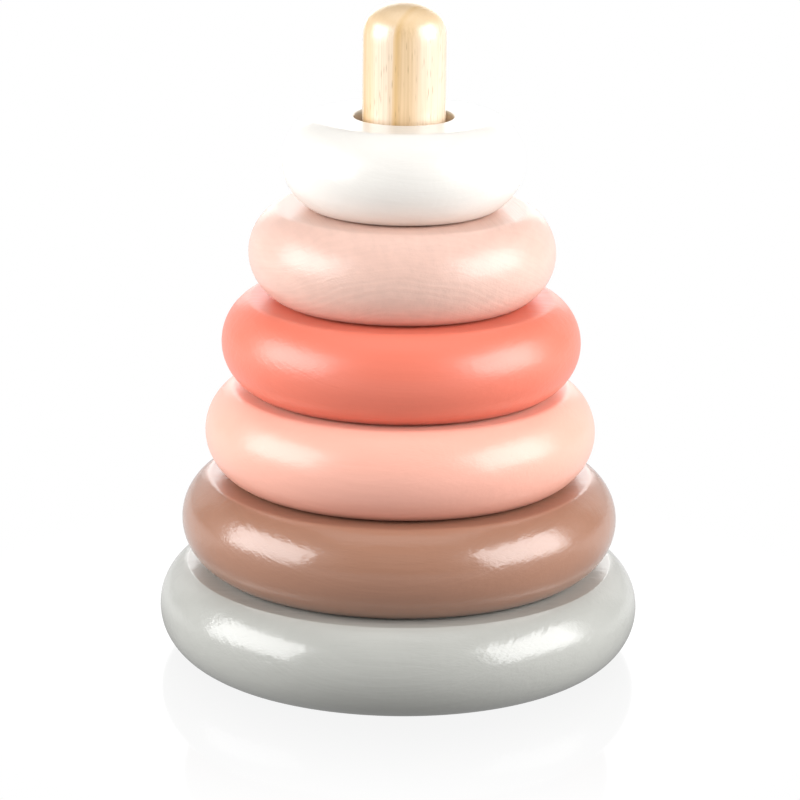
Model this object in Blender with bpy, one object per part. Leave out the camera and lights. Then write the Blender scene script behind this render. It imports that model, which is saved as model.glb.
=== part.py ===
"""Stacking ring toy: a wooden base disc with a domed peg screwed into it, and five loose rings.

Every wooden disc is turned from the same board, so all of them share one thickness and one
shoulder. The rings drop over the peg with a loose bore and stack largest first. Each ring's
origin is on the peg's axis at its own underside, so moving it along Z lifts it off.

Frame: metres, +Z up, origin on the peg's axis at the underside of the base.
"""

import math

import bmesh
import bpy

MM = 0.001

# Driving dimensions
BOARD = 22.0 * MM  # thickness of every disc
GAP = 0.3 * MM  # air between pieces that touch
PITCH = BOARD + GAP  # height from one disc's underside to the next one's
SHOULDER = 6.8 * MM  # how far the rounded side stands out past the flat faces
BASE_RADIUS = 59.0 * MM
BORE_RADIUS = 12.0 * MM
BORE_EASE = 0.5 * MM  # rounding of the bore's two mouths

PEG_RADIUS = 10.0 * MM
PEG_TOP = 161.0 * MM
DOME_HEIGHT = 9.7 * MM
DOME_POWER_ACROSS = 1.88  # superellipse powers: a flattish crown with a full shoulder
DOME_POWER_UP = 3.13
FOOT_CHAMFER = 1.0 * MM
PILOT_SPARE = 1.5 * MM  # how far the pilot hole runs on past the screw's point

SOCKET_DEPTH = 11.0 * MM  # blind hole for the peg in the top of the base
WELL_RADIUS = 6.0 * MM  # counterbore under the base for the screw head and its cover
WELL_DEPTH = 7.0 * MM

SCREW_RADIUS = 2.0 * MM  # 4 mm wood screw, over the thread
SCREW_ROOT = 1.35 * MM
SCREW_LENGTH = 35.0 * MM
SCREW_PITCH = 1.8 * MM
THREAD_TURNS = 12
THREAD_SHARES = (0.0, 0.35, 0.68)  # heights of groove, flank foot and crest, in pitches
NECK_LENGTH = 1.0 * MM  # where the smooth shank turns into the thread
POINT_TURNS = 1.6  # pitches from the thread's last groove to the point
POINT_SHARE = 0.3  # share of the radius that the taper leaves at the point
TAPER_TURNS = 4  # pitches in which the taper would narrow a full radius to nothing
HEAD_RADIUS = 4.0 * MM
HEAD_HEIGHT = 2.6 * MM
HEAD_FACE = 3.2 * MM  # radius of the head's flat face
HEAD_CROWN = 0.9 * MM  # height of the slope from that face to the head's side
RECESS_WIDTH = 1.1 * MM
RECESS_SPAN = 4.4 * MM
RECESS_DEPTH = 1.6 * MM

COVER_HEIGHT = 3.2 * MM  # wooden plug that closes the well
COVER_CHAMFER = 0.4 * MM

# Loose rings, from the bottom up: name, outer radius, paint
RINGS = (
    ("ring_brown", 53.5 * MM, (0.39, 0.20, 0.13)),
    ("ring_peach", 47.75 * MM, (0.90, 0.46, 0.36)),
    ("ring_coral", 43.75 * MM, (0.81, 0.20, 0.13)),
    ("ring_pale_pink", 37.25 * MM, (0.75, 0.50, 0.42)),
    ("ring_white", 29.25 * MM, (0.83, 0.80, 0.76)),
)
GREY_PAINT = (0.46, 0.46, 0.43)
BEECH = (0.80, 0.62, 0.38)
ZINC = (0.72, 0.68, 0.52)
PAINT_ROUGHNESS = 0.35
LACQUER_ROUGHNESS = 0.35
BARE_ROUGHNESS = 0.6
ZINC_ROUGHNESS = 0.35

# Facets
DISC_SEGMENTS = 48
PEG_SEGMENTS = 32
SCREW_SEGMENTS = 16
SIDE_STEPS = 10
EASE_STEPS = 2
DOME_STEPS = 8
SMOOTH_ANGLE = math.radians(20)


def clear_scene():
    for obj in list(bpy.data.objects):
        bpy.data.objects.remove(obj, do_unlink=True)


def material(name, colour, roughness, metallic=0.0):
    mat = bpy.data.materials.new(name)
    mat.use_nodes = True
    shader = mat.node_tree.nodes["Principled BSDF"]
    shader.inputs["Base Color"].default_value = (*colour, 1.0)
    shader.inputs["Roughness"].default_value = roughness
    shader.inputs["Metallic"].default_value = metallic
    return mat


def add_object(name, bm, mat=None, z=0.0):
    """Turns a bmesh into a linked object with outward faces, smooth except at its edges."""
    bmesh.ops.recalc_face_normals(bm, faces=bm.faces)
    mesh = bpy.data.meshes.new(name)
    bm.to_mesh(mesh)
    bm.free()
    mesh.shade_smooth()
    mesh.set_sharp_from_angle(angle=SMOOTH_ANGLE)
    obj = bpy.data.objects.new(name, mesh)
    obj.location.z = z
    if mat is not None:
        mesh.materials.append(mat)
    bpy.context.scene.collection.objects.link(obj)
    return obj


def spun(profile, segments, closed=False):
    """Spins (radius, height) points round Z. An open profile starts and ends on the axis."""
    bm = bmesh.new()
    verts = [bm.verts.new((r, 0.0, z)) for r, z in profile]
    ends = verts[1:] + verts[:1] if closed else verts[1:]
    edges = [bm.edges.new(pair) for pair in zip(verts, ends)]
    bmesh.ops.spin(bm, geom=verts + edges, cent=(0, 0, 0), axis=(0, 0, 1),
                   angle=math.tau, steps=segments, use_merge=True, use_duplicate=False)
    bmesh.ops.remove_doubles(bm, verts=bm.verts, dist=1e-6)
    return bm


def arc(centre, radius, start, end, steps):
    """Points on a circular arc in the (radius, height) plane, angles in degrees from +r."""
    points = []
    for i in range(steps + 1):
        angle = math.radians(start + (end - start) * i / steps)
        points.append((centre[0] + radius * math.cos(angle), centre[1] + radius * math.sin(angle)))
    return points


def rounded_side(outer_radius):
    """The turned side of a disc, from its lower flat face to its upper one.

    It is one shallow arc that meets both flats at a soft crease, bulging out by SHOULDER.
    """
    radius = (SHOULDER**2 + (BOARD / 2) ** 2) / (2 * SHOULDER)
    reach = math.degrees(math.asin(BOARD / 2 / radius))
    return arc((outer_radius - radius, BOARD / 2), radius, -reach, reach, SIDE_STEPS)


def ring_profile(outer_radius):
    """Closed section of a loose ring: rounded side, flat faces, bore with eased mouths."""
    ease = BORE_RADIUS + BORE_EASE
    upper = arc((ease, BOARD - BORE_EASE), BORE_EASE, 90, 180, EASE_STEPS)
    lower = arc((ease, BORE_EASE), BORE_EASE, 180, 270, EASE_STEPS)
    return rounded_side(outer_radius) + upper + lower


def base_profile():
    """Section of the base: blind socket above, screw hole, and the well for the screw below."""
    socket = PEG_RADIUS + GAP
    hole = SCREW_RADIUS + GAP
    floor = BOARD - SOCKET_DEPTH
    above = [(socket, BOARD), (socket, floor), (hole, floor)]
    below = [(hole, WELL_DEPTH), (WELL_RADIUS, WELL_DEPTH), (WELL_RADIUS, 0.0)]
    return rounded_side(BASE_RADIUS) + above + below


def dome():
    """Upper end of the peg, from its side to the point of the crown."""
    points = []
    for i in range(DOME_STEPS):
        angle = math.pi / 2 * i / DOME_STEPS
        across = math.cos(angle) ** (2 / DOME_POWER_ACROSS)
        up = math.sin(angle) ** (2 / DOME_POWER_UP)
        points.append((PEG_RADIUS * across, PEG_TOP - DOME_HEIGHT * (1 - up)))
    return points + [(0.0, PEG_TOP)]


def peg_profile():
    """Section of the peg: pilot hole in its foot, chamfer, straight side, dome."""
    foot = BOARD - SOCKET_DEPTH + GAP
    pilot = SCREW_RADIUS + GAP
    pilot_end = WELL_DEPTH - GAP + SCREW_LENGTH + PILOT_SPARE
    hole = [(0.0, pilot_end), (pilot, pilot_end - pilot), (pilot, foot)]
    side = [(PEG_RADIUS - FOOT_CHAMFER, foot), (PEG_RADIUS, foot + FOOT_CHAMFER)]
    return hole + side + dome()


def cover_profile():
    radius = WELL_RADIUS - GAP
    low, high = GAP, GAP + COVER_HEIGHT
    edge = [(radius - COVER_CHAMFER, low), (radius, low + COVER_CHAMFER), (radius, high)]
    return [(0.0, low)] + edge + [(0.0, high)]


def lathe_rows(bm, profile, segments):
    """Rows of vertices round Z, one for each (radius, height) of the profile, joined by faces."""
    rows = []
    for radius, z in profile:
        turns = [math.tau * n / segments for n in range(segments)]
        rows.append([bm.verts.new((radius * math.cos(t), radius * math.sin(t), z)) for t in turns])
    for low, high in zip(rows, rows[1:]):
        for n in range(segments):
            after = (n + 1) % segments
            bm.faces.new((low[n], low[after], high[after], high[n]))
    return rows


def thread_strip(bm, bottom, top):
    """Columns of the helical thread, three vertices each: root, root, crest.

    The crest grows out of the core over the first turn and sinks back into it over the last
    one, where the core itself tapers to the point.
    """
    last = THREAD_TURNS * SCREW_SEGMENTS
    strip = []
    for n in range(last + 1):
        angle = math.tau * n / SCREW_SEGMENTS
        grown = min(1.0, n / SCREW_SEGMENTS, (last - n) / SCREW_SEGMENTS)
        crest = SCREW_ROOT + (SCREW_RADIUS - SCREW_ROOT) * grown
        column = []
        for radius, share in zip((SCREW_ROOT, SCREW_ROOT, crest), THREAD_SHARES):
            z = bottom + SCREW_PITCH * (n / SCREW_SEGMENTS + share)
            r = radius * min(1.0, POINT_SHARE + (top - z) / (TAPER_TURNS * SCREW_PITCH))
            column.append(bm.verts.new((r * math.cos(angle), r * math.sin(angle), z)))
        strip.append(column)
    for n in range(last):
        here, after = strip[n], strip[n + 1]
        for row in range(2):
            bm.faces.new((here[row], after[row], after[row + 1], here[row + 1]))
        if n + 1 + SCREW_SEGMENTS <= last:
            bm.faces.new((here[2], after[2], strip[n + 1 + SCREW_SEGMENTS][0],
                          strip[n + SCREW_SEGMENTS][0]))
    return strip


def screw_body():
    """Head, neck, thread and point of the wood screw as one closed skin, head down."""
    bm = bmesh.new()
    head_top = WELL_DEPTH - GAP
    head_low = head_top - HEAD_HEIGHT
    point = head_top + SCREW_LENGTH
    start = point - SCREW_PITCH * (THREAD_TURNS + POINT_TURNS)
    head = [(HEAD_FACE, head_low), (HEAD_RADIUS, head_low + HEAD_CROWN), (HEAD_RADIUS, head_top)]
    shank = [(SCREW_ROOT, head_top), (SCREW_ROOT, start - NECK_LENGTH)]
    rows = lathe_rows(bm, head + shank, SCREW_SEGMENTS)
    bm.faces.new(rows[0])
    neck = rows[-1]
    strip = thread_strip(bm, start, point)
    for n in range(SCREW_SEGMENTS - 1):
        bm.faces.new((neck[n], neck[n + 1], strip[n + 1][0], strip[n][0]))
    bm.faces.new((neck[-1], neck[0], *strip[0], strip[SCREW_SEGMENTS][0],
                  strip[SCREW_SEGMENTS - 1][0]))
    tail = strip[-1 - SCREW_SEGMENTS:]
    tip = bm.verts.new((0.0, 0.0, point))
    loop = [column[2] for column in tail] + [tail[-1][1], tail[-1][0]]
    for a, b in zip(loop, loop[1:] + loop[:1]):
        bm.faces.new((a, b, tip))
    return bm


def cross_recess(z):
    """Cutter for the driver's cross in the underside of the screw head."""
    bm = bmesh.new()
    half_l, half_s = RECESS_SPAN / 2, RECESS_WIDTH / 2
    outline = [(half_l, -half_s), (half_l, half_s), (half_s, half_s), (half_s, half_l),
               (-half_s, half_l), (-half_s, half_s), (-half_l, half_s), (-half_l, -half_s),
               (-half_s, -half_s), (-half_s, -half_l), (half_s, -half_l), (half_s, -half_s)]
    face = bm.faces.new([bm.verts.new((x, y, z - MM)) for x, y in outline])
    grown = bmesh.ops.extrude_face_region(bm, geom=[face])["geom"]
    top = [v for v in grown if isinstance(v, bmesh.types.BMVert)]
    bmesh.ops.translate(bm, verts=top, vec=(0, 0, MM + RECESS_DEPTH))
    cutter = add_object("recess_cutter", bm)
    cutter.hide_render = True
    cutter.display_type = "WIRE"
    return cutter


def make_screw():
    screw = add_object("peg_screw", screw_body(),
                       material("zinc_plate", ZINC, ZINC_ROUGHNESS, metallic=1.0))
    recess = screw.modifiers.new("recess", "BOOLEAN")
    recess.operation = "DIFFERENCE"
    recess.solver = "EXACT"
    recess.object = cross_recess(WELL_DEPTH - GAP - HEAD_HEIGHT)


def make_base():
    add_object("base_disc", spun(base_profile(), DISC_SEGMENTS, closed=True),
               material("grey_paint", GREY_PAINT, PAINT_ROUGHNESS))


def make_peg():
    add_object("peg", spun(peg_profile(), PEG_SEGMENTS),
               material("lacquered_beech", BEECH, LACQUER_ROUGHNESS))


def make_cover():
    add_object("screw_cover", spun(cover_profile(), PEG_SEGMENTS),
               material("bare_beech", BEECH, BARE_ROUGHNESS))


def make_rings():
    for level, (name, radius, paint) in enumerate(RINGS, start=1):
        add_object(name, spun(ring_profile(radius), DISC_SEGMENTS, closed=True),
                   material(name + "_paint", paint, PAINT_ROUGHNESS), z=level * PITCH)


clear_scene()
make_base()
make_peg()
make_screw()
make_cover()
make_rings()
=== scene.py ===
import math

import bmesh
import bpy
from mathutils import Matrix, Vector


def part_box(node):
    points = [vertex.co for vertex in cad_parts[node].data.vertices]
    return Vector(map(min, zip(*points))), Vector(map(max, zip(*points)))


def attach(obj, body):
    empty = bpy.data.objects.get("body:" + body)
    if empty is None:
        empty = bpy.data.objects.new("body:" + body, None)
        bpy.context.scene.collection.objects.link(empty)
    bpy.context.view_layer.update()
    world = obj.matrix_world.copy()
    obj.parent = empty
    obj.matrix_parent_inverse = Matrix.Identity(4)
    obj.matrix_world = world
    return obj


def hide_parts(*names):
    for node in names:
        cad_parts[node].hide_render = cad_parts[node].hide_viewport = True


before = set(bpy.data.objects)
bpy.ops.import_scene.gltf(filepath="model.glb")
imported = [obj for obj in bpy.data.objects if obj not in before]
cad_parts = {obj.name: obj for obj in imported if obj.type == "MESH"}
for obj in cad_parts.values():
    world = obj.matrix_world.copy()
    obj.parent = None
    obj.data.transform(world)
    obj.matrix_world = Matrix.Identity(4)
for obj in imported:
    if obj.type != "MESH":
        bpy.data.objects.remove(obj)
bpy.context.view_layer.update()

MM = 0.001

# Sizes read from the frame
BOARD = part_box("base_disc")[1].z  # thickness of every disc
PEG_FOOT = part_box("peg")[0].z
PEG_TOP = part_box("peg")[1].z
PEG_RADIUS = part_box("peg")[1].x
COVER_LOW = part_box("screw_cover")[0].z
COVER_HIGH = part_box("screw_cover")[1].z
COVER_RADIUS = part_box("screw_cover")[1].x
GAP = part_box("ring_brown")[0].z - BOARD

# Shapes that the frame holds only as facets
SHOULDER = 6.8 * MM  # how far a disc's rounded side stands out past its flats
BORE_RADIUS = 12.0 * MM
BORE_EASE = 0.5 * MM  # rounding of a bore's mouths
SOCKET_EASE = 0.25 * MM  # rounding of the socket's and the well's mouths
WELL_DEPTH = 7.0 * MM
SCREW_HOLE = 2.3 * MM  # radius of the hole through the base and up into the peg
PILOT_SPARE = 1.5 * MM  # how far that hole runs on past the screw's point
FOOT_CHAMFER = 1.0 * MM
COVER_EASE = 0.4 * MM
DOME_HEIGHT = 9.7 * MM
DOME_POWER_ACROSS = 1.88  # superellipse powers
DOME_POWER_UP = 3.13

# Fineness
SEGMENTS = 144
SIDE_STEPS = 26
EASE_STEPS = 6
DOME_STEPS = 28
PEG_LOOPS = (0.3, 0.6, 0.9)  # edge loops up the peg, as shares of its straight height
HOLD = 0.4 * MM  # distance of the edge loops that keep flat faces flat
SHARP_ANGLE = math.radians(35.0)

# Noise patterns: (stretch along X, Y and Z, scale per metre, detail, roughness)
PAINT_BANDS = ((0.06, 1, 1), 380.0, 3.0, 0.55)
PAINT_FIBRES = ((0.04, 1, 1), 2200.0, 2.0, 0.6)
PAINT_PEEL = ((1, 1, 1), 480.0, 1.0, 0.4)
PAINT_MOTTLE = ((1, 1, 1), 55.0, 2.0, 0.5)
SHELL_WANDER = ((0.12, 1, 1), 70.0, 2.0, 0.5)
FLECK_PATCHES = ((1, 1, 1), 190.0, 1.0, 0.5)
BARE_FIBRES = ((0.03, 1, 1), 2400.0, 3.0, 0.6)
PEG_WAVES = ((1, 1, 0.15), 110.0, 4.0, 0.6)
PEG_FIBRES = ((1, 1, 0.02), 1700.0, 4.0, 0.65)
ZINC_STREAKS = ((1, 1, 0.1), 1800.0, 2.0, 0.5)
NOISE_SPAN = (0.3, 0.7)  # where most of a noise's values lie
HEIGHT_SPAN = (0.2, 0.8)  # and those of a wood surface's height
SEED_STEP = (0.037, 0.021, 0.013)

# Paint
PAINT_LINES = 1300.0  # growth lines under it, per metre
PAINT_WANDER = 5.0 * MM  # how far those lines wander
LINES_SHARE = 0.45  # of the growth lines in the grain
BANDS_SHARE = 0.55
MOTTLE_SHARE = 0.015
ROUGH_SPREAD = (-0.03, 0.05)
PEEL_RELIEF = 0.05 * MM
PAINT_RIM = (0.35 * MM, 0.5 * MM)  # out from a bore's wall: bare up to here, painted from here
PAINT_RIM_WANDER = 0.5 * MM
PAINT_RUN = (1.0 * MM, 1.6 * MM)  # down a bore: painted up to here, bare from here
PAINT_RUN_WANDER = 1.0 * MM
# Painted light on the bore's bare wall, which lies in shade, together with the wood's own paler tone
BORE_PALE_AND_LIGHT = (0.95, 0.86, 0.76)
BORE_PALE_AND_LIGHT_SHARE = 0.8  # how far the bore's bare wall is paled: partly the wood's own paler tone, partly painted light on a wall that lies in shade
BORE_ROUGHNESS = 0.7
PAINTED_SHADE_HEIGHT = 2.2 * MM  # of the band of painted shade at a ring's lower crease
PAINTED_SHADE_INSET = (12.0 * MM, 8.0 * MM)  # in from the rim: where that band starts, and where it is full

# Each disc's paint. colour, rough and specular are the enamel's, coat and gloss the clear coat's
# weight and roughness. crease is the radius that eases a crease. turn and pith place the board's
# grain, in degrees from X and in metres across and up. relief is the depth of the grain's lines
# under the paint, fuzz that of its fibres, and tone the share of the colour that they change.
# seed moves the noise. The last key, on the rings, is how much painted shade darkens a ring's lower
# crease, where it sits on the ring below.
PAINTS = {
    "base_disc": {
        "colour": (0.455, 0.457, 0.428), "rough": 0.42, "specular": 0.20,
        "coat": 0.90, "gloss": 0.14, "crease": 0.8 * MM, "turn": 4.0, "pith": (0.02, -0.06),
        "relief": 0.160 * MM, "fuzz": 0.045 * MM, "tone": 0.02, "seed": 1,
    },
    "ring_brown": {
        "colour": (0.372, 0.186, 0.120), "rough": 0.42, "specular": 0.30,
        "coat": 1.00, "gloss": 0.14, "crease": 2.4 * MM, "turn": 3.0, "pith": (-0.01, -0.05),
        "relief": 0.120 * MM, "fuzz": 0.045 * MM, "tone": 0.02, "seed": 2, "painted_shade": 0.35,
    },
    "ring_peach": {
        "colour": (0.900, 0.461, 0.363), "rough": 0.40, "specular": 0.20,
        "coat": 0.60, "gloss": 0.24, "crease": 3.0 * MM, "turn": 11.0, "pith": (0.03, -0.05),
        "relief": 0.120 * MM, "fuzz": 0.040 * MM, "tone": 0.015, "seed": 3, "painted_shade": 0.45,
    },
    "ring_coral": {
        "colour": (0.810, 0.196, 0.126), "rough": 0.48, "specular": 0.40,
        "coat": 0.60, "gloss": 0.28, "crease": 3.0 * MM, "turn": -3.0, "pith": (0.0, -0.06),
        "relief": 0.100 * MM, "fuzz": 0.040 * MM, "tone": 0.015, "seed": 4, "painted_shade": 0.45,
    },
    "ring_pale_pink": {
        "colour": (0.753, 0.503, 0.422), "rough": 0.42, "specular": 0.20,
        "coat": 0.60, "gloss": 0.26, "crease": 3.0 * MM, "turn": 78.0, "pith": (-0.006, -0.03),
        "relief": 0.180 * MM, "fuzz": 0.050 * MM, "tone": 0.06, "seed": 5, "painted_shade": 0.30,
    },
    "ring_white": {
        "colour": (0.810, 0.785, 0.742), "rough": 0.40, "specular": 0.20,
        "coat": 0.70, "gloss": 0.24, "crease": 2.4 * MM, "turn": -12.0, "pith": (0.01, -0.05),
        "relief": 0.100 * MM, "fuzz": 0.030 * MM, "tone": 0.01, "seed": 6, "painted_shade": 0.08,
    },
}

# Beech
BEECH_PALE = (0.83, 0.68, 0.52)
BEECH_HONEY = (0.79, 0.57, 0.33)
BEECH_GOLD = (0.71, 0.46, 0.19)
BEECH_FIBRE = (0.56, 0.36, 0.18)
BEECH_FLECK = (0.36, 0.20, 0.08)
FLECKS = 1600.0  # per metre
FLECK_EDGE = (0.1, 0.26)  # out from a fleck's middle: full up to here, gone from here
FLECK_PATCH_SPAN = (0.35, 0.55)
FLECKS_LEAST = 0.2  # share of them outside the patches

# Bare wood, of the cover and of the rings' bores
BARE_LINES = 330.0  # growth lines, per metre
BARE_LINES_SPAN = (0.35, 0.66)
BARE_PITH = (0.01, -0.045)  # metres across and up in the board
BARE_WANDER = 6.0 * MM
BARE_FIBRES_SPAN = (0.35, 0.7)
BARE_FIBRES_SHARE = 0.4
BARE_FLECKS_STRETCH = (0.16, 1, 1)
BARE_FLECKS_SHARE = 0.5
BARE_FLECKS_DEPTH = 0.8
BARE_RELIEF = 0.03 * MM
COVER_TURN = 20.0
COVER_SEED = 7
COVER_ROUGHNESS = (0.5, 0.68)

# The peg: its yearly shells, their colours as shares of a year, and what differs on its crown
PEG_SHELL_TURN = math.radians(55.0)  # from the front towards +X
PEG_SHELL_NORMAL = (math.sin(PEG_SHELL_TURN), -math.cos(PEG_SHELL_TURN), 0.0)
PEG_YEAR = 10.0 * MM
PEG_YEAR_PHASE = -0.40
PEG_WANDER = 1.6 * MM
GOLD_RISE = (0.0, 0.09)
GOLD_FALL = (0.08, 0.22)
HONEY_FADE = (0.3, 0.65)
HONEY_LEAST = 0.1
CROWN_FACING = (0.2, 0.6)  # upward share of the surface's direction: side up to here, crown from here
CROWN_GOLD = 0.5
CROWN_HONEY = 0.85
CROWN_FIBRES = 0.25
PEG_FIBRES_SPAN = (0.4, 0.7)
PEG_FIBRES_SHARE = 0.5
PEG_FLECKS_STRETCH = (1, 1, 0.12)
PEG_FLECKS_SHARE = 0.6
PEG_FLECKS_DEPTH = 0.4
LACQUER_RELIEF = 0.04 * MM
LACQUER_ROUGHNESS = (0.36, 0.48)
LACQUER_SPECULAR = 0.8
LACQUER_COAT_ROUGHNESS = 0.26

# The screw
ZINC_LIGHT = (0.74, 0.70, 0.56)
ZINC_DARK = (0.62, 0.60, 0.52)
ZINC_ROUGHNESS = (0.28, 0.42)

# Camera, at the photograph's viewing angle: degrees, metres, and the lens in millimetres
VIEW_ELEVATION = 15.8
VIEW_DISTANCE = 0.871
VIEW_TARGET = Vector((-0.00012, 0.0, 0.0627))
VIEW_ROLL = 0.68
LENS = 160.0
SENSOR_WIDTH = 36.0

# Studio lights: (name, azimuth from the front and elevation in degrees, distance, width and
# height in metres, watts)
LIGHTS = (
    ("softbox_left", -74.0, 19.0, 0.9, 0.84, 0.57, 11.7),
    ("softbox_right", 71.0, 21.5, 0.9, 0.84, 0.60, 12.7),
    ("backdrop_middle", 180.0, 16.0, 0.9, 0.70, 0.50, 2.6),
    ("backdrop_left", -146.0, 13.5, 1.07, 0.50, 0.50, 0.50),
    ("backdrop_right", 146.0, 13.5, 1.07, 0.50, 0.50, 0.50),
    ("overhead", 0.0, 89.9, 0.9, 0.80, 0.80, 1.8),
    ("fill", 0.0, 30.0, 0.9, 0.40, 0.40, 0.11),
)
LIGHTS_AIM = Vector((0.0, 0.0, 0.06))

# How the floor and the room light the toy
FLOOR_HALF = 4.0
FLOOR_GLOW = 0.355
FLOOR_FRONT = (0.43, -0.08, -0.45)  # more glow: how much, the y where it starts, where it is full
FLOOR_BACK = (0.45, 0.0, 0.06)
ROOM_GLOW = 0.025

# How they are seen: white up to the first place, and the room's grey from the second
ROOM_SEEN = 0.78
WHITE_SIDE = (0.23, 0.45)
WHITE_FRONT = (-0.12, -0.35)
WHITE_BACK = (1.05, 1.8)
FLOOR_IOR = 1.5
FLOOR_ROUGHNESS = 0.06
FLOOR_MIRROR = 0.7  # share of the mirror image that is kept close by
MIRROR_NEAR = 0.05  # from the peg's axis: all of that share up to here, none from MIRROR_FAR
MIRROR_FAR = 0.13


# ---------------------------------------------------------------- shapes

def arc(centre, radius, start, end, steps):
    """Points on a circular arc in the (radius, height) plane, angles in degrees from +r."""
    turns = [math.radians(start + (end - start) * i / steps) for i in range(steps + 1)]
    return [(centre[0] + radius * math.cos(t), centre[1] + radius * math.sin(t)) for t in turns]


def side_profile(outer_radius, ease):
    """Rounded side of a disc, from its lower flat to its upper one, with eased creases.

    The side is one arc that bulges out by SHOULDER. A small arc of radius ease, tangent to it
    and to the flat, replaces each crease, and one more point holds each flat.
    """
    radius = (SHOULDER**2 + (BOARD / 2) ** 2) / (2 * SHOULDER)
    centre = outer_radius - radius
    lift = BOARD / 2 - ease
    reach = math.degrees(math.asin(lift / (radius - ease)))
    inset = centre + math.sqrt((radius - ease) ** 2 - lift**2)
    lower = arc((inset, ease), ease, -90, -reach, EASE_STEPS)
    side = arc((centre, BOARD / 2), radius, -reach, reach, SIDE_STEPS)
    upper = arc((inset, BOARD - ease), ease, reach, 90, EASE_STEPS)
    return [(inset - HOLD, 0.0)] + lower[:-1] + side + upper[1:] + [(inset - HOLD, BOARD)]


def mouth(radius, ease, height, upper):
    """Eased edge of a hole at a flat face, with its holding points, in walking order."""
    if upper:
        edge = arc((radius + ease, height - ease), ease, 90, 180, EASE_STEPS)
        return [(radius + ease + HOLD, height)] + edge + [(radius, height - ease - HOLD)]
    edge = arc((radius + ease, height + ease), ease, 180, 270, EASE_STEPS)
    return [(radius, height + ease + HOLD)] + edge + [(radius + ease + HOLD, height)]


def ring_profile(outer_radius, crease):
    """Closed section of a loose ring."""
    bore = mouth(BORE_RADIUS, BORE_EASE, BOARD, True) + mouth(BORE_RADIUS, BORE_EASE, 0.0, False)
    return side_profile(outer_radius, crease) + bore


def base_profile(outer_radius, crease):
    """Closed section of the base: peg socket, screw hole, and the well under them."""
    socket = PEG_RADIUS + GAP
    floor = PEG_FOOT - GAP
    well = COVER_RADIUS + GAP
    inside = mouth(socket, SOCKET_EASE, BOARD, True) + [(socket, floor), (SCREW_HOLE, floor)]
    under = [(SCREW_HOLE, WELL_DEPTH), (well, WELL_DEPTH)] + mouth(well, SOCKET_EASE, 0.0, False)
    return side_profile(outer_radius, crease) + inside + under


def dome():
    """Upper end of the peg: a superellipse with a flattish crown and a full shoulder."""
    points = []
    for i in range(DOME_STEPS):
        angle = math.pi / 2 * i / DOME_STEPS
        across = math.cos(angle) ** (2 / DOME_POWER_ACROSS)
        up = math.sin(angle) ** (2 / DOME_POWER_UP)
        points.append((PEG_RADIUS * across, PEG_TOP - DOME_HEIGHT * (1 - up)))
    return points + [(0.0, PEG_TOP)]


def revolve(name, profile, closed):
    """A mesh object turned round Z from (radius, height) points, its faces outwards."""
    bm = bmesh.new()
    turns = [math.tau * i / SEGMENTS for i in range(SEGMENTS)]
    rows = []
    for r, z in profile:
        around = turns if r > 0.0 else turns[:1]
        rows.append([bm.verts.new((r * math.cos(t), r * math.sin(t), z)) for t in around])
    pairs = list(zip(rows, rows[1:]))
    if closed:
        pairs.append((rows[-1], rows[0]))
    for low, high in pairs:
        for i in range(SEGMENTS):
            j = (i + 1) % SEGMENTS
            below = [low[i % len(low)], low[j % len(low)]]
            above = [high[j % len(high)], high[i % len(high)]]
            bm.faces.new(list(dict.fromkeys(below + above)))
    bmesh.ops.recalc_face_normals(bm, faces=bm.faces)
    mesh = bpy.data.meshes.new(name)
    bm.to_mesh(mesh)
    bm.free()
    mesh.shade_smooth()
    mesh.set_sharp_from_angle(angle=SHARP_ANGLE)
    obj = bpy.data.objects.new(name, mesh)
    bpy.context.scene.collection.objects.link(obj)
    return obj


# ---------------------------------------------------------------- materials

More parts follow.
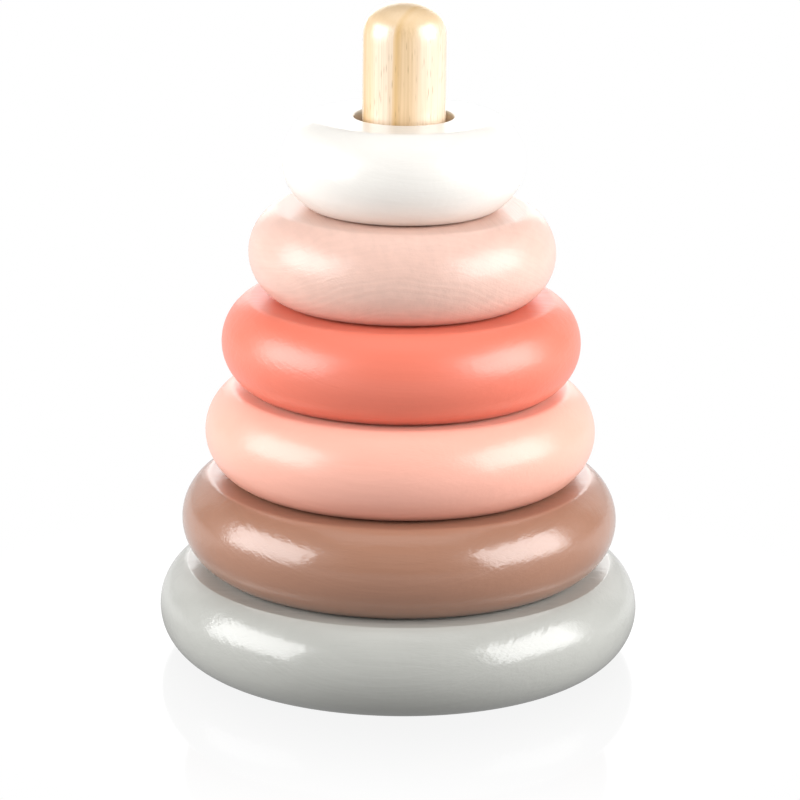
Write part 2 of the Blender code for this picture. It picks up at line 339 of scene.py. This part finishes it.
class Nodes:
    """Adds and joins the shader nodes of one material."""

    def __init__(self, name):
        self.material = bpy.data.materials.new(name)
        self.material.use_nodes = True
        self.tree = self.material.node_tree
        self.tree.nodes.clear()
        self.object_space = self.add("TexCoord").outputs["Object"]

    def add(self, kind, **settings):
        node = self.tree.nodes.new("ShaderNode" + kind)
        for key, value in settings.items():
            setattr(node, key, value)
        return node

    def put(self, socket, thing):
        """Links a socket, or sets a number or colour."""
        if isinstance(thing, bpy.types.NodeSocket):
            self.tree.links.new(thing, socket)
        else:
            socket.default_value = thing

    def math(self, operation, *values):
        node = self.add("Math", operation=operation)
        for socket, value in zip(node.inputs, values):
            self.put(socket, value)
        return node.outputs[0]

    def place(self, stretch=(1, 1, 1), turn=0.0, shift=(0, 0, 0)):
        """Object coordinates turned round Z by degrees, then scaled: under 1 draws a pattern out."""
        turned = self.add("Mapping", vector_type="POINT")
        self.put(turned.inputs["Vector"], self.object_space)
        turned.inputs["Rotation"].default_value = (0, 0, math.radians(turn))
        turned.inputs["Location"].default_value = shift
        scaled = self.add("VectorMath", operation="MULTIPLY")
        self.put(scaled.inputs[0], turned.outputs[0])
        scaled.inputs[1].default_value = stretch
        return scaled.outputs[0]

    def axes(self):
        """Object coordinates as x, y and z sockets."""
        split = self.add("SeparateXYZ")
        self.put(split.inputs[0], self.object_space)
        return split.outputs

    def from_axis(self):
        """Distance from the object's Z axis."""
        span = self.add("VectorMath", operation="LENGTH")
        self.put(span.inputs[0], self.place((1, 1, 0)))
        return span.outputs["Value"]

    def noise(self, vector, scale, detail, roughness):
        node = self.add("TexNoise")
        self.put(node.inputs["Vector"], vector)
        node.inputs["Scale"].default_value = scale
        node.inputs["Detail"].default_value = detail
        node.inputs["Roughness"].default_value = roughness
        return node.outputs["Fac"]

    def pattern(self, kind, turn=0.0, shift=(0, 0, 0)):
        """One of the noise patterns listed above, turned and moved as place() says."""
        stretch, scale, detail, roughness = kind
        return self.noise(self.place(stretch, turn, shift), scale, detail, roughness)

    def remap(self, value, low, high, to_low, to_high, smooth=False):
        node = self.add("MapRange", interpolation_type="SMOOTHSTEP" if smooth else "LINEAR")
        for key, thing in (("Value", value), ("From Min", low), ("From Max", high),
                           ("To Min", to_low), ("To Max", to_high)):
            self.put(node.inputs[key], thing)
        return node.outputs["Result"]

    def mix(self, factor, a, b):
        """Two colours mixed. These are the numbers of the Mix node's colour sockets."""
        node = self.add("Mix", data_type="RGBA")
        self.put(node.inputs[0], factor)
        self.put(node.inputs[6], a)
        self.put(node.inputs[7], b)
        return node.outputs[2]

    def bump(self, height, distance, normal=None):
        node = self.add("Bump")
        node.inputs["Distance"].default_value = distance
        self.put(node.inputs["Height"], height)
        if normal is not None:
            self.put(node.inputs["Normal"], normal)
        return node.outputs[0]

    def finish(self, surface):
        self.put(self.add("OutputMaterial").inputs["Surface"], surface)
        return self.material


def rgb(colour):
    return (*colour, 1.0)


def seed_shift(seed):
    """A different corner of the noise for each piece."""
    return tuple(step * seed for step in SEED_STEP)


def growth(n, fibre_turn, pith, wander_size, shift):
    """Distance from the tree's pith, in metres, with the fibres along X turned by fibre_turn.

    pith is (across, up) in the board. The shells wander by wander_size, slowly along the fibres.
    """
    wander = n.pattern(SHELL_WANDER, fibre_turn, shift)
    span = n.add("VectorMath", operation="DISTANCE")
    n.put(span.inputs[0], n.place((0, 1, 1), fibre_turn))
    span.inputs[1].default_value = (0.0, *pith)
    return n.math("MULTIPLY_ADD", wander, wander_size, span.outputs["Value"])


def lines(n, distance, scale):
    """Noise that changes only with the distance from the pith."""
    point = n.add("CombineXYZ")
    n.put(point.inputs["X"], distance)
    return n.noise(point.outputs[0], scale, 2.0, 0.5)


def ray_flecks(n, stretch, shift=(0, 0, 0)):
    """Short dark dashes along the fibres, gathered in patches."""
    cells = n.add("TexVoronoi", feature="F1")
    n.put(cells.inputs["Vector"], n.place(stretch, shift=shift))
    cells.inputs["Scale"].default_value = FLECKS
    dash = n.remap(cells.outputs["Distance"], *FLECK_EDGE, 1.0, 0.0)
    patch = n.pattern(FLECK_PATCHES, shift=shift)
    return n.math("MULTIPLY", dash, n.remap(patch, *FLECK_PATCH_SPAN, FLECKS_LEAST, 1.0))


def lacquered_beech():
    """The peg: beech with upright grain under clear lacquer.

    Each year's wood starts as a golden line with a sharp edge and pales outwards. The years
    are flat shells that face the front right, so they run down the side as streaks. The crown
    is evenly honey-coloured, and the golden lines cross it as faint arches.
    """
    n = Nodes("lacquered_beech")
    facing = n.add("SeparateXYZ")
    n.put(facing.inputs[0], n.add("TexCoord").outputs["Normal"])
    side = n.remap(facing.outputs["Z"], *CROWN_FACING, 1.0, 0.0, True)

    span = n.add("VectorMath", operation="DOT_PRODUCT")
    n.put(span.inputs[0], n.object_space)
    span.inputs[1].default_value = PEG_SHELL_NORMAL
    depth = n.math("MULTIPLY_ADD", n.pattern(PEG_WAVES), PEG_WANDER, span.outputs["Value"])
    year = n.math("FRACT", n.math("MULTIPLY_ADD", depth, 1.0 / PEG_YEAR, PEG_YEAR_PHASE))
    rise = n.remap(year, *GOLD_RISE, 0.0, 1.0, True)
    gold = n.math("MULTIPLY", rise, n.remap(year, *GOLD_FALL, 1.0, 0.0, True))
    gold = n.math("MULTIPLY", gold, n.remap(side, 0.0, 1.0, CROWN_GOLD, 1.0))
    honey = n.remap(year, *HONEY_FADE, 1.0, HONEY_LEAST, True)
    honey = n.math("MAXIMUM", honey, n.remap(side, 0.0, 1.0, CROWN_HONEY, 0.0))

    fibres = n.pattern(PEG_FIBRES)
    dark = n.remap(fibres, *PEG_FIBRES_SPAN, 0.0, PEG_FIBRES_SHARE)
    dark = n.math("MULTIPLY", dark, n.remap(side, 0.0, 1.0, CROWN_FIBRES, 1.0))
    fleck = n.math("MULTIPLY", ray_flecks(n, PEG_FLECKS_STRETCH), side)
    colour = n.mix(honey, rgb(BEECH_PALE), rgb(BEECH_HONEY))
    colour = n.mix(gold, colour, rgb(BEECH_GOLD))
    colour = n.mix(dark, colour, rgb(BEECH_FIBRE))
    colour = n.mix(n.math("MULTIPLY", fleck, PEG_FLECKS_SHARE), colour, rgb(BEECH_FLECK))

    height = n.math("SUBTRACT", fibres, n.math("MULTIPLY", fleck, PEG_FLECKS_DEPTH))
    surface = n.bump(height, LACQUER_RELIEF)
    shader = n.add("BsdfPrincipled")
    n.put(shader.inputs["Base Color"], colour)
    n.put(shader.inputs["Roughness"], n.remap(height, *HEIGHT_SPAN, *LACQUER_ROUGHNESS))
    shader.inputs["Specular IOR Level"].default_value = LACQUER_SPECULAR
    shader.inputs["Coat Weight"].default_value = 1.0
    shader.inputs["Coat Roughness"].default_value = LACQUER_COAT_ROUGHNESS
    n.put(shader.inputs["Normal"], surface)
    n.put(shader.inputs["Coat Normal"], surface)
    return n.finish(shader.outputs[0])


def bare_wood(n, fibre_turn, seed):
    """Unfinished beech: (colour, height) sockets, with the fibres along X turned by fibre_turn."""
    shift = seed_shift(seed)
    bands = lines(n, growth(n, fibre_turn, BARE_PITH, BARE_WANDER, shift), BARE_LINES)
    honey = n.remap(bands, *BARE_LINES_SPAN, 0.0, 1.0, True)
    fibres = n.pattern(BARE_FIBRES, fibre_turn, shift)
    dark = n.remap(fibres, *BARE_FIBRES_SPAN, 0.0, BARE_FIBRES_SHARE)
    fleck = ray_flecks(n, BARE_FLECKS_STRETCH, shift)
    colour = n.mix(honey, rgb(BEECH_PALE), rgb(BEECH_HONEY))
    colour = n.mix(dark, colour, rgb(BEECH_FIBRE))
    colour = n.mix(n.math("MULTIPLY", fleck, BARE_FLECKS_SHARE), colour, rgb(BEECH_FLECK))
    return colour, n.math("SUBTRACT", fibres, n.math("MULTIPLY", fleck, BARE_FLECKS_DEPTH))


def bare_beech():
    """The glued-in cover under the base: sanded, unfinished."""
    n = Nodes("bare_beech")
    colour, height = bare_wood(n, COVER_TURN, COVER_SEED)
    shader = n.add("BsdfPrincipled")
    n.put(shader.inputs["Base Color"], colour)
    n.put(shader.inputs["Roughness"], n.remap(height, *HEIGHT_SPAN, *COVER_ROUGHNESS))
    n.put(shader.inputs["Normal"], n.bump(height, BARE_RELIEF))
    return n.finish(shader.outputs[0])


def painted_crease_shade(n, most, ring_radius):
    """Share of the paint's brightness left by the painted shade at a ring's lower crease, where it
    sits on the ring below.
    """
    low = n.remap(n.axes()["Z"], 0.0, PAINTED_SHADE_HEIGHT, 1.0 - most, 1.0, True)
    start, full = (ring_radius - inset for inset in PAINTED_SHADE_INSET)
    near = n.remap(n.from_axis(), start, full, 0.0, 1.0, True)
    return n.math("SUBTRACT", 1.0, n.math("MULTIPLY", near, n.math("SUBTRACT", 1.0, low)))


def paint_cover(n, peel, bands):
    """1 where a ring is painted and 0 on a bore's bare wall, with an uneven edge between."""
    reach = n.math("MULTIPLY_ADD", peel, PAINT_RIM_WANDER, n.from_axis())
    start, full = (BORE_RADIUS + step for step in PAINT_RIM)
    rim = n.remap(reach, start, full, 0.0, 1.0)
    middle = n.math("ABSOLUTE", n.math("SUBTRACT", n.axes()["Z"], BOARD / 2))
    depth = n.math("SUBTRACT", BOARD / 2, middle)
    edge = n.math("MULTIPLY_ADD", bands, PAINT_RUN_WANDER, depth)
    return n.math("MAXIMUM", rim, n.remap(edge, *PAINT_RUN, 1.0, 0.0, True))


def paint(name, look, ring_radius=None):
    """Enamel on a beech disc, whose grain shows through as fine lines in tone, relief and gloss.

    On a loose ring, whose radius is given, the paint ends unevenly inside the bore's mouths, the
    bore's bare wall is paled, partly to the wood's own tone and partly by painted light, and painted
    shade darkens the lower crease.
    """
    n = Nodes(name)
    shift = seed_shift(look["seed"])
    turn = look["turn"]
    rings = lines(n, growth(n, turn, look["pith"], PAINT_WANDER, shift), PAINT_LINES)
    fibres = n.pattern(PAINT_FIBRES, turn, shift)
    bands = n.pattern(PAINT_BANDS, turn, shift)
    peel = n.pattern(PAINT_PEEL, shift=shift)
    mottle = n.pattern(PAINT_MOTTLE, shift=shift)
    weighted = n.math("MULTIPLY", rings, LINES_SHARE)
    grain = n.math("ADD", weighted, n.math("MULTIPLY", bands, BANDS_SHARE))

    spread = look["tone"]
    tone = n.remap(grain, *NOISE_SPAN, 1.0 - spread, 1.0 + spread)
    cloud = n.remap(mottle, *NOISE_SPAN, 1.0 - MOTTLE_SHARE, 1.0 + MOTTLE_SHARE)
    tone = n.math("MULTIPLY", tone, cloud)
    # Painted shade: a ring's lower crease is darkened where it sits on the ring below.
    if ring_radius:
        tone = n.math("MULTIPLY", tone, painted_crease_shade(n, look["painted_shade"], ring_radius))
    tint = n.add("VectorMath", operation="SCALE")
    tint.inputs[0].default_value = look["colour"]
    n.put(tint.inputs["Scale"], tone)
    colour = tint.outputs[0]
    smoothest, roughest = (look["rough"] + step for step in ROUGH_SPREAD)
    rough = n.remap(grain, *NOISE_SPAN, smoothest, roughest)
    if ring_radius:
        wood, _ = bare_wood(n, turn, look["seed"])
        painted = paint_cover(n, peel, bands)
        # The bore's bare wall is mixed towards a pale colour: partly the wood's own paler tone,
        # partly painted light on a wall that lies in shade.
        colour = n.mix(painted, n.mix(BORE_PALE_AND_LIGHT_SHARE, wood, rgb(BORE_PALE_AND_LIGHT)), colour)
        rough = n.remap(painted, 0.0, 1.0, BORE_ROUGHNESS, rough)

    surface = n.bump(grain, look["relief"])
    surface = n.bump(fibres, look["fuzz"], surface)
    surface = n.bump(peel, PEEL_RELIEF, surface)
    shader = n.add("BsdfPrincipled")
    n.put(shader.inputs["Base Color"], colour)
    n.put(shader.inputs["Roughness"], rough)
    shader.inputs["Specular IOR Level"].default_value = look["specular"]
    shader.inputs["Coat Weight"].default_value = look["coat"]
    shader.inputs["Coat Roughness"].default_value = look["gloss"]
    n.put(shader.inputs["Normal"], surface)
    n.put(shader.inputs["Coat Normal"], surface)
    return n.finish(shader.outputs[0])


def zinc_plate():
    """Zinc-plated steel with a faint drawn texture, for the hidden screw."""
    n = Nodes("zinc_plate")
    streaks = n.pattern(ZINC_STREAKS)
    shader = n.add("BsdfPrincipled")
    shader.inputs["Metallic"].default_value = 1.0
    n.put(shader.inputs["Base Color"], n.mix(streaks, rgb(ZINC_LIGHT), rgb(ZINC_DARK)))
    n.put(shader.inputs["Roughness"], n.remap(streaks, *NOISE_SPAN, *ZINC_ROUGHNESS))
    return n.finish(shader.outputs[0])


# ---------------------------------------------------------------- the toy

def add_discs():
    for node, look in PAINTS.items():
        low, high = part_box(node)
        is_base = node == "base_disc"
        profile = (base_profile if is_base else ring_profile)(high.x, look["crease"])
        disc = revolve(node + "_turned", profile, True)
        disc.location.z = low.z
        slot = "grey_paint" if is_base else node.replace("ring_", "") + "_paint"
        disc.data.materials.append(paint(slot, look, None if is_base else high.x))
        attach(disc, "base" if is_base else node)
        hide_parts(node)


def add_peg():
    hole_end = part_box("peg_screw")[1].z + PILOT_SPARE
    hole = [(0.0, hole_end), (SCREW_HOLE, hole_end - SCREW_HOLE), (SCREW_HOLE, PEG_FOOT)]
    foot = [(PEG_RADIUS - FOOT_CHAMFER, PEG_FOOT), (PEG_RADIUS, PEG_FOOT + FOOT_CHAMFER)]
    top = dome()
    straight = [(PEG_RADIUS, top[0][1] * share) for share in PEG_LOOPS]
    peg = revolve("peg_turned", hole + foot + straight + top, False)
    peg.data.materials.append(lacquered_beech())
    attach(peg, "base")
    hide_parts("peg")


def add_cover():
    flat = COVER_RADIUS - COVER_EASE
    edge = arc((flat, COVER_LOW + COVER_EASE), COVER_EASE, -90, 0, EASE_STEPS)
    profile = [(0.0, COVER_LOW), (flat - HOLD, COVER_LOW)] + edge
    profile += [(COVER_RADIUS, COVER_HIGH), (0.0, COVER_HIGH)]
    cover = revolve("screw_cover_turned", profile, False)
    cover.data.materials.append(bare_beech())
    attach(cover, "base")
    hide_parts("screw_cover")


def finish_screw():
    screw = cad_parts["peg_screw"]
    screw.data.materials.clear()
    screw.data.materials.append(zinc_plate())


# ---------------------------------------------------------------- the studio

def direction(azimuth, elevation):
    """Unit vector from degrees, azimuth being from the front towards +X."""
    a = math.radians(azimuth)
    e = math.radians(elevation)
    return Vector((math.sin(a) * math.cos(e), -math.cos(a) * math.cos(e), math.sin(e)))


def add_camera():
    data = bpy.data.cameras.new("camera")
    data.lens = LENS
    data.sensor_width = SENSOR_WIDTH
    camera = bpy.data.objects.new("camera", data)
    bpy.context.scene.collection.objects.link(camera)
    out = direction(0.0, VIEW_ELEVATION)
    camera.location = VIEW_TARGET + out * VIEW_DISTANCE
    camera.rotation_euler = (-out).to_track_quat("-Z", "Y").to_euler()
    camera.rotation_euler.rotate_axis("Z", math.radians(VIEW_ROLL))
    bpy.context.scene.camera = camera


def add_lights():
    for name, azimuth, elevation, distance, width, height, watts in LIGHTS:
        data = bpy.data.lights.new(name, "AREA")
        data.shape = "RECTANGLE"
        data.size = width
        data.size_y = height
        data.energy = watts
        light = bpy.data.objects.new(name, data)
        out = direction(azimuth, elevation)
        light.location = LIGHTS_AIM + out * distance
        light.rotation_euler = (-out).to_track_quat("-Z", "Y").to_euler()
        light.visible_camera = False
        bpy.context.scene.collection.objects.link(light)


def add_room():
    """A dim room, which is seen as pale grey."""
    world = bpy.data.worlds.new("studio")
    bpy.context.scene.world = world
    world.use_nodes = True
    tree = world.node_tree
    tree.nodes.clear()
    dim = tree.nodes.new("ShaderNodeBackground")
    dim.inputs["Color"].default_value = (1, 1, 1, 1)
    dim.inputs["Strength"].default_value = ROOM_GLOW
    seen = tree.nodes.new("ShaderNodeBackground")
    seen.inputs["Color"].default_value = (ROOM_SEEN, ROOM_SEEN, ROOM_SEEN, 1)
    pick = tree.nodes.new("ShaderNodeMixShader")
    path = tree.nodes.new("ShaderNodeLightPath")
    output = tree.nodes.new("ShaderNodeOutputWorld")
    tree.links.new(path.outputs["Is Camera Ray"], pick.inputs[0])
    tree.links.new(dim.outputs[0], pick.inputs[1])
    tree.links.new(seen.outputs[0], pick.inputs[2])
    tree.links.new(pick.outputs[0], output.inputs["Surface"])


def floor_material():
    """Glossy table, seen as a white sweep behind the toy that turns pale grey towards the sides.

    The base is mirrored faintly in it close by. It lights the toy by a glow of its own, which is
    stronger in front of the toy and behind it. From below it can't be seen.
    """
    n = Nodes("floor_white")
    axes = n.axes()
    aside = n.remap(n.math("ABSOLUTE", axes["X"]), *WHITE_SIDE, 0.0, 1.0, True)
    before = n.remap(axes["Y"], *WHITE_FRONT, 0.0, 1.0, True)
    beyond = n.remap(axes["Y"], *WHITE_BACK, 0.0, 1.0, True)
    grey = n.math("MAXIMUM", aside, n.math("MAXIMUM", before, beyond))
    white = n.add("Emission")
    n.put(white.inputs["Strength"], n.remap(grey, 0.0, 1.0, 1.0, ROOM_SEEN))

    fade = n.remap(n.from_axis(), MIRROR_NEAR, MIRROR_FAR, FLOOR_MIRROR, 0.0, True)
    fresnel = n.add("Fresnel")
    fresnel.inputs["IOR"].default_value = FLOOR_IOR
    gloss = n.add("BsdfGlossy")
    gloss.inputs["Roughness"].default_value = FLOOR_ROUGHNESS
    seen = n.add("MixShader")
    n.put(seen.inputs[0], n.math("MULTIPLY", fade, fresnel.outputs[0]))
    n.put(seen.inputs[1], white.outputs[0])
    n.put(seen.inputs[2], gloss.outputs[0])

    glow = FLOOR_GLOW
    for more, start, full in (FLOOR_FRONT, FLOOR_BACK):
        glow = n.math("ADD", glow, n.remap(axes["Y"], start, full, 0.0, more, True))
    bounce = n.add("Emission")
    n.put(bounce.inputs["Strength"], glow)
    pick = n.add("MixShader")
    n.put(pick.inputs[0], n.add("LightPath").outputs["Is Camera Ray"])
    n.put(pick.inputs[1], bounce.outputs[0])
    n.put(pick.inputs[2], seen.outputs[0])

    sides = n.add("MixShader")
    n.put(sides.inputs[0], n.add("NewGeometry").outputs["Backfacing"])
    n.put(sides.inputs[1], pick.outputs[0])
    n.put(sides.inputs[2], n.add("BsdfTransparent").outputs[0])
    return n.finish(sides.outputs[0])


def add_floor():
    near = -FLOOR_HALF
    far = FLOOR_HALF
    mesh = bpy.data.meshes.new("floor")
    corners = [(near, near, 0), (far, near, 0), (far, far, 0), (near, far, 0)]
    mesh.from_pydata(corners, [], [(0, 1, 2, 3)])
    floor = bpy.data.objects.new("floor", mesh)
    mesh.materials.append(floor_material())
    bpy.context.scene.collection.objects.link(floor)


add_discs()
add_peg()
add_cover()
finish_screw()
add_camera()
add_lights()
add_room()
add_floor()
bpy.context.scene.view_settings.view_transform = "Standard"
